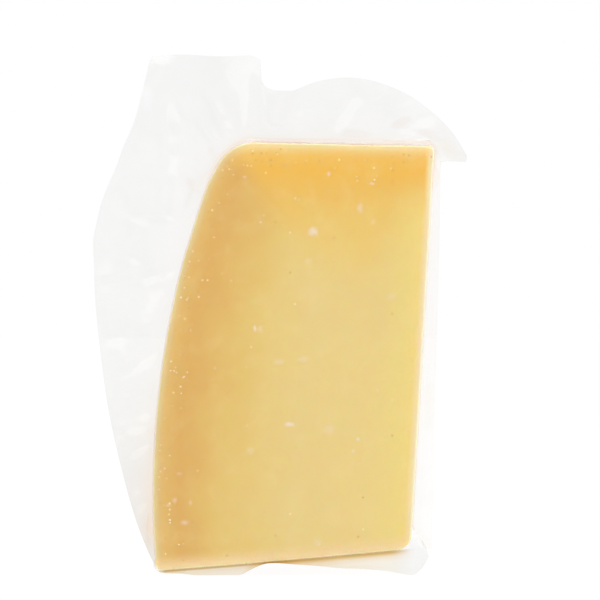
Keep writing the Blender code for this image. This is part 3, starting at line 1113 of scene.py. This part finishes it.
def dress_film(bm, place_layer, away_layer, fillet_layer):
    """Gives the film its haze with painted shade at its folds, the cheese's colour as a painted reflection
    and painted shadow, and the folded end's ripples.
    """
    layers = bm.verts.layers.float
    haze_and_shade, cheese_reflection, skirt_shade, dull = [layers.new(name) for name in ("haze_and_shade", "cheese_reflection", "skirt_shade", "dull")]
    for vert in bm.verts:
        p, place, away = vert.co, vert[place_layer], vert[away_layer]
        here = Vector((p.x, p.z))
        x, z = section_place(p)
        under = foot_height(x) - z
        # Low by the rind the film gets painted shade and a painted reflection of the cheese.
        low = (1 - eased(z, 0, 62)) * (1 - eased(x, 0, 20))
        right_side = eased(x, 62, 72) * (1 - eased(z, 104, 110))
        ear = eased(x, 58, 70) * eased(z, 106, 112)
        haze_with_shade = 0.3 + 0.5 * low - 0.35 * right_side - 0.12 * ear + 0.08 * fbm((p.x, 9.0, p.z), 11.0, 3)
        near = 0.04 + 0.22 * low
        # A painted reflection of the cheese along the top, where the film leaves the chunk.
        by_top = 0.35 * eased(z, 96, 106) * exp(-(here - POUCH.at(place)).length / 0.45)
        if away > 0:
            # Painted shade on the sheet's folds: the steeper the film, the greyer.
            haze_with_shade = between(haze_with_shade + 0.3 * web_slope(here, place, away), 0, 1)
            vert[haze_and_shade] = haze_with_shade * (1 - 0.5 * low * exp(-away / 1.5))
            vert[cheese_reflection] = near * (0.6 * exp(-away / 2.5) + 0.4 * exp(-away / 8.0)) + by_top
        elif vert[fillet_layer] > 0:
            vert[haze_and_shade] = haze_with_shade * vert[fillet_layer] * (1 - 0.5 * low)
            vert[cheese_reflection] = (near + by_top) * vert[fillet_layer]
        # The folded end under the cheese takes the painted shadow and reflection.
        elif under > -4:
            vert[skirt_shade] = 1.0
        if away == 0 and under > -0.5:
            vert[haze_and_shade] = 0.1 + 0.3 * eased(x, 60, 67) + 0.1 * fbm(p, 5.0, 3)
            vert[dull] = 1.0 if z < 0.3 else 0.6
            face = min(abs(p.y + SEAM_DEPTH), abs(p.y - RIND_THICKNESS + SEAM_DEPTH + 2))
            ripple = 0.25 * sin(p.x / 1.7 + 2 * fbm(p, 12.0, 2))
            proud = (FOLD_PROUD + ripple) * between(under, -0.5, 1.5) * (1 - eased(face, 1.0, 6.0))
            vert.co.y += proud * (-1 if p.y < 0 else 1)


def make_pouch(made_of):
    """The vacuum pouch: its film clings to the cheese, folds under it, and stands out at its seam."""
    bm = chunk_shell(POUCH.points, CLING, RIM_RADIUS + CLING, FILM_SQUARE)
    for y in SEAM_CUTS:
        cut_across(bm, y)
        cut_across(bm, -y)
    layers = bm.verts.layers
    place_layer, away_layer, fillet_layer = [layers.float.new(name) for name in ("place", "away", "fillet")]
    root_layer = layers.float_vector.new("root")
    for vert in bm.verts:
        vert[place_layer] = POUCH.place_of(section_place(vert.co))
    rims = split_seam(bm, place_layer)
    turn_out_at_seam(bm, rims, place_layer, root_layer, fillet_layer)
    extrude_web(bm, rims, place_layer, root_layer, away_layer)
    bmesh.ops.remove_doubles(bm, verts=bm.verts, dist=FILM_WELD)
    dress_film(bm, place_layer, away_layer, fillet_layer)
    return finished("pouch", bm, made_of, "film_pouch")


# ---------------------------------------------------------------- the studio


def area_light(name, place, aim, size, power):
    data = bpy.data.lights.new(name, "AREA")
    data.shape = "RECTANGLE"
    data.size, data.size_y = size
    data.energy = power
    lamp = bpy.data.objects.new(name, data)
    lamp.location = place
    lamp.rotation_euler = (Vector(aim) - Vector(place)).to_track_quat("-Z", "Y").to_euler()
    bpy.context.scene.collection.objects.link(lamp)


def make_studio():
    scene = bpy.context.scene
    scene.view_settings.view_transform = "Standard"
    world = bpy.data.worlds.new("white studio")
    world.use_nodes = True
    world.node_tree.nodes["Background"].inputs["Color"].default_value = (1, 1, 1, 1)
    world.node_tree.nodes["Background"].inputs["Strength"].default_value = 1.0
    scene.world = world
    bm = bmesh.new()
    bmesh.ops.create_circle(bm, cap_ends=True, segments=96, radius=1.2)
    mesh = bpy.data.meshes.new("floor")
    bm.to_mesh(mesh)
    bm.free()
    made = bpy.data.materials.new("pale floor")
    made.use_nodes = True
    tree = made.node_tree
    tree.nodes.clear()
    matt = node(tree, "ShaderNodeBsdfDiffuse", Color=(0.05, 0.05, 0.05, 1)).outputs[0]
    glow = node(tree, "ShaderNodeEmission", Color=(1, 1, 1, 1), Strength=0.96).outputs[0]
    finish_material(tree, node(tree, "ShaderNodeAddShader", i0=matt, i1=glow).outputs[0])
    mesh.materials.append(made)
    floor = bpy.data.objects.new("floor", mesh)
    floor.location.z = -0.0002
    scene.collection.objects.link(floor)
    middle = (0, 0, 0.06)
    area_light("front light", (-0.75, -1.0, 0.6), middle, (1.0, 1.0), 2.0)
    area_light("top light", (0.05, -0.2, 0.95), middle, (0.8, 0.8), 3.0)
    area_light("side light", (0.9, -0.1, 0.3), middle, (0.8, 0.8), 3.0)


def make_camera():
    """Straight on to the front, a little above the middle."""
    distance, rise = 1.5, radians(2.5)
    width = 0.156  # of the view, at the object
    aim = Vector((0.00507, 0, 0.0700))
    data = bpy.data.cameras.new("camera")
    data.sensor_width = 36.0
    data.lens = data.sensor_width * distance / width
    camera = bpy.data.objects.new("camera", data)
    camera.location = aim + distance * Vector((0, -cos(rise), sin(rise)))
    camera.rotation_euler = (aim - camera.location).to_track_quat("-Z", "Y").to_euler()
    bpy.context.scene.collection.objects.link(camera)
    bpy.context.scene.camera = camera


make_camera()
make_studio()
make_cheese(cheese_material())
make_crumbs(crumb_material())
make_pouch(film_material())
